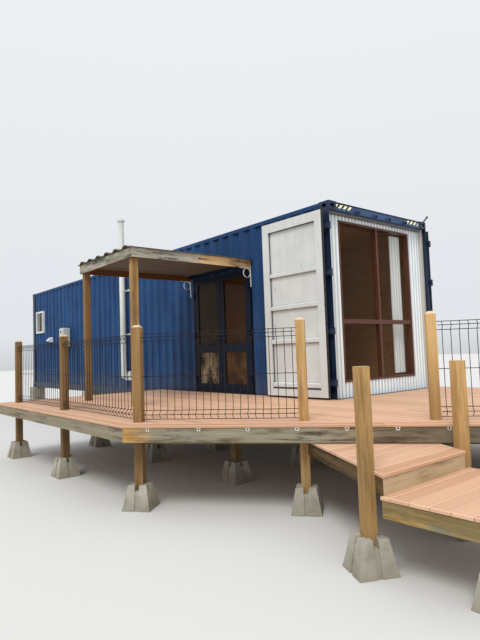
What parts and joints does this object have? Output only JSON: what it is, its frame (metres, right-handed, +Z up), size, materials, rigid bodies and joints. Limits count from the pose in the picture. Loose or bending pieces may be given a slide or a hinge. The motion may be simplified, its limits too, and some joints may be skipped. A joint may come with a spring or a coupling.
{
  "type": "container cabin",
  "caption": "cabin made from a long shipping container, with glazed end wall, glazed doors under an awning, raised deck with wire mesh fence, angled steps and a flue",
  "frame": {"origin": "underside of the pier under the container's door end, at the corner between the end face and the deck side face", "axes": "+X along the container out of its door end, +Y from the deck side to the plain side, +Z up; Z is 0 on the level ground"},
  "size_m": [15.918, 5.717, 4.615],
  "materials": {
    "blue_steel": "matt blue paint, weathered",
    "navy_steel": "dark navy paint, scuffed",
    "dark_steel": "black underseal",
    "door_paint": "pale grey paint, scuffed and rust marked",
    "white_sheet": "white sheet steel",
    "white_flue": "white paint",
    "galvanised": "galvanised, dull",
    "black_wire": "black coated wire",
    "window_timber": "red brown stain",
    "door_timber": "navy paint",
    "weathered_timber": "weathered pine",
    "post_timber": "treated pine",
    "hidden_timber": "treated pine",
    "deck_composite": "terracotta composite boards",
    "plywood": "worn floor",
    "lining": "grey ribbed lining",
    "roofing": "dark grey sheet",
    "concrete": "cast concrete",
    "pane": "dark reflecting glass",
    "seal_rubber": "black rubber",
    "cloth": "cream cloth"
  },
  "bodies": {
    "root": {"castings": "navy_steel", "corner_posts": "navy_steel", "bottom_rails": "navy_steel", "cross_members": "dark_steel", "top_rails": "blue_steel", "door_header": "navy_steel", "door_sill": "navy_steel", "blind_end_rails": "navy_steel", "wall_rear": "blue_steel", "wall_front": "blue_steel", "wall_over_door": "blue_steel", "wall_far": "blue_steel", "wall_blind_end": "blue_steel", "roof": "blue_steel", "floor": "plywood", "inner_lining": "plywood", "infill": "white_sheet", "window_frame": "window_timber", "window_glass": "pane", "small_window": "white_flue", "doorway_frame": "door_timber", "flue": "white_flue", "wall_vent": "white_flue", "awning_posts": "post_timber", "awning_beams": "weathered_timber", "awning_lining": "lining", "awning_roof": "roofing", "awning_brackets": "galvanised", "deck_boards": "deck_composite", "deck_edge": "weathered_timber", "deck_joists": "hidden_timber", "deck_bearers": "hidden_timber", "posts": "post_timber", "stumps": "hidden_timber", "footings": "concrete", "mesh_front": "black_wire", "mesh_slant": "black_wire", "mesh_right": "black_wire", "mesh_side": "black_wire", "upper_step": "deck_composite", "upper_step_frame": "weathered_timber", "lower_step": "deck_composite", "lower_step_frame": "weathered_timber", "piers": "concrete", "curtain_rail": "dark_steel", "curtain": "cloth", "hinge_lugs": "navy_steel"},
    "near_door": {"near_leaf": "door_paint", "near_seal": "seal_rubber", "near_lock_gear": "galvanised"},
    "far_door": {"far_leaf": "door_paint", "far_seal": "seal_rubber", "far_lock_gear": "galvanised"},
    "right_glazed_door": {"glazed_right": "door_timber", "glazed_right_panes": "pane"},
    "left_glazed_door": {"glazed_left": "door_timber", "glazed_left_panes": "pane"}
  },
  "joints": [
    {"name": "near_door_hinge", "type": "hinge", "parent": "root", "child": "near_door", "pos_m": [0.03, -0.04, 2], "axis": [0, 0, 1], "range_deg": [0, 268.8]},
    {"name": "far_door_hinge", "type": "hinge", "parent": "root", "child": "far_door", "pos_m": [0.03, 2.478, 2], "axis": [0, 0, 1], "range_deg": [-268.8, 0]},
    {"name": "right_glazed_door_hinge", "type": "hinge", "parent": "root", "child": "right_glazed_door", "pos_m": [-1.7445, -0.024, 1.8], "axis": [0, 0, 1], "range_deg": [0, 90]},
    {"name": "left_glazed_door_hinge", "type": "hinge", "parent": "root", "child": "left_glazed_door", "pos_m": [-3.2595, -0.024, 1.8], "axis": [0, 0, 1], "range_deg": [-90, 0]}
  ]
}
